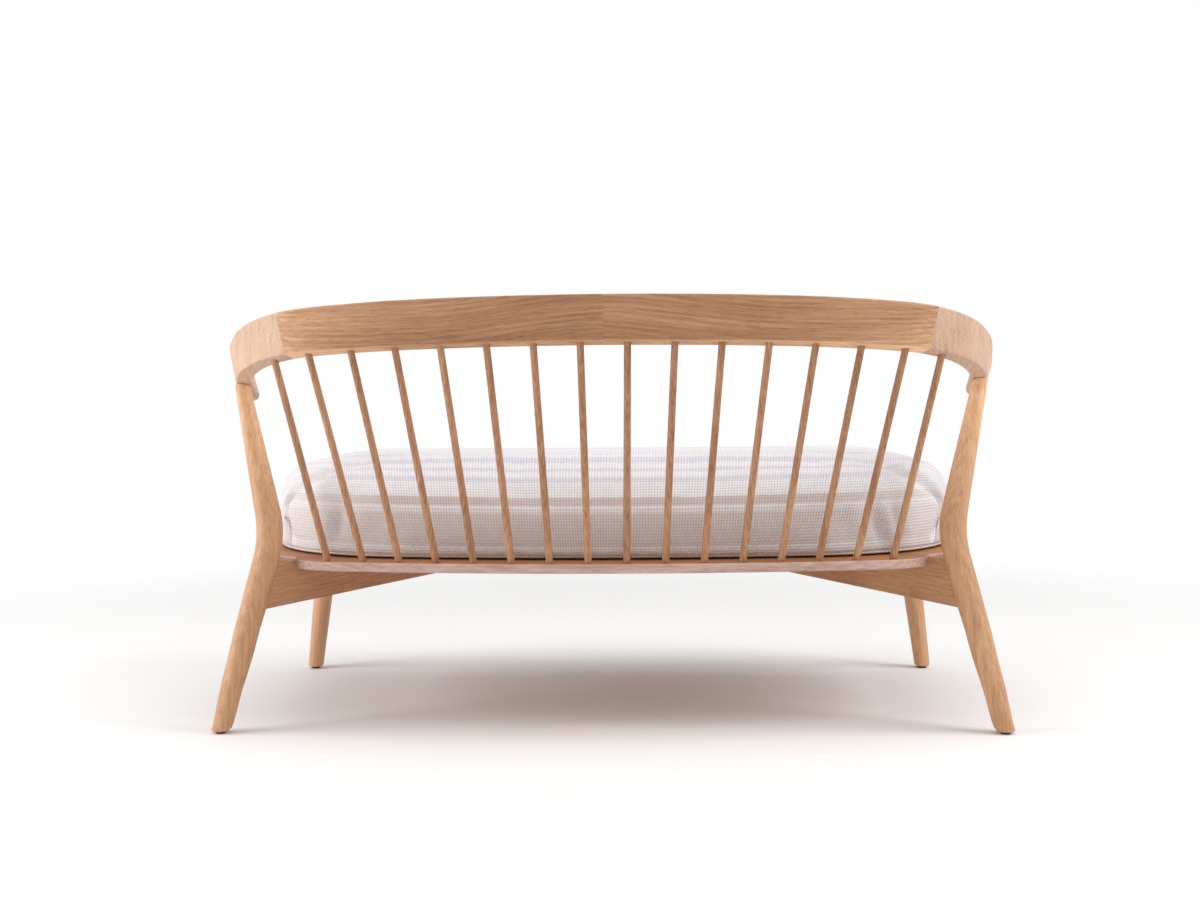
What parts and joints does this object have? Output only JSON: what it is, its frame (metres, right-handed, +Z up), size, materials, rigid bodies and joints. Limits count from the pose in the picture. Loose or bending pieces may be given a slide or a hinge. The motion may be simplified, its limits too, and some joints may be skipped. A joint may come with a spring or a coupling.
{
  "type": "garden sofa",
  "caption": "Two-seat garden sofa with a bent crest rail on round spindles, bent back legs that carry short arms, a notched wood seat deck and one loose striped cushion",
  "frame": {"origin": "middle of the footprint box at floor level", "axes": "+Z up, +X to the sitter's left along the width, +Y to the back of the sofa; the sitter faces -Y"},
  "size_m": [1.433, 0.7639, 0.7692],
  "materials": {
    "crest_wood": "oiled hardwood, satin",
    "arm_wood": "oiled hardwood, satin",
    "spindle_wood": "oiled hardwood, satin",
    "leg_wood": "oiled hardwood, satin",
    "bearer_wood": "oiled hardwood, satin",
    "seat_wood": "oiled hardwood, satin",
    "hidden_wood": "oiled hardwood, satin",
    "screw_steel": "stainless steel, bright",
    "glide_plastic": "black nylon, matt",
    "cover_fabric": "ribbed striped woven outdoor fabric",
    "base_fabric": "plain woven lining cloth",
    "filling": "open cell foam with a fibre wrap"
  },
  "bodies": {
    "frame": {"crest_left": "crest_wood", "crest_right": "crest_wood", "arm_left": "arm_wood", "arm_right": "arm_wood", "crest_tenon": "hidden_wood", "arm_tenon_left": "hidden_wood", "arm_tenon_right": "hidden_wood", "back_leg_left": "leg_wood", "back_leg_right": "leg_wood", "front_leg_left": "leg_wood", "front_leg_right": "leg_wood", "rear_bearer_left": "bearer_wood", "rear_bearer_right": "bearer_wood", "front_bearer_left": "bearer_wood", "front_bearer_right": "bearer_wood", "centre_beam": "bearer_wood", "beam_dowels": "hidden_wood", "seat_board_1": "seat_wood", "seat_board_2": "seat_wood", "seat_board_3": "seat_wood", "seat_board_4": "seat_wood", "spindle_01": "spindle_wood", "spindle_02": "spindle_wood", "spindle_03": "spindle_wood", "spindle_04": "spindle_wood", "spindle_05": "spindle_wood", "spindle_06": "spindle_wood", "spindle_07": "spindle_wood", "spindle_08": "spindle_wood", "spindle_09": "spindle_wood", "spindle_10": "spindle_wood", "spindle_11": "spindle_wood", "spindle_12": "spindle_wood", "spindle_13": "spindle_wood", "spindle_14": "spindle_wood", "spindle_15": "spindle_wood", "spindle_16": "spindle_wood", "seat_screws": "screw_steel", "glide_back_left": "glide_plastic", "glide_back_right": "glide_plastic", "glide_front_left": "glide_plastic", "glide_front_right": "glide_plastic"},
    "cushion": {"cushion_cover": "cover_fabric", "cushion_base": "base_fabric", "cushion_core": "filling"}
  },
  "joints": [
    {"name": "cushion_lift", "type": "slide", "parent": "frame", "child": "cushion", "axis": [0, 0, 1], "range_m": [0, 0.48]}
  ]
}
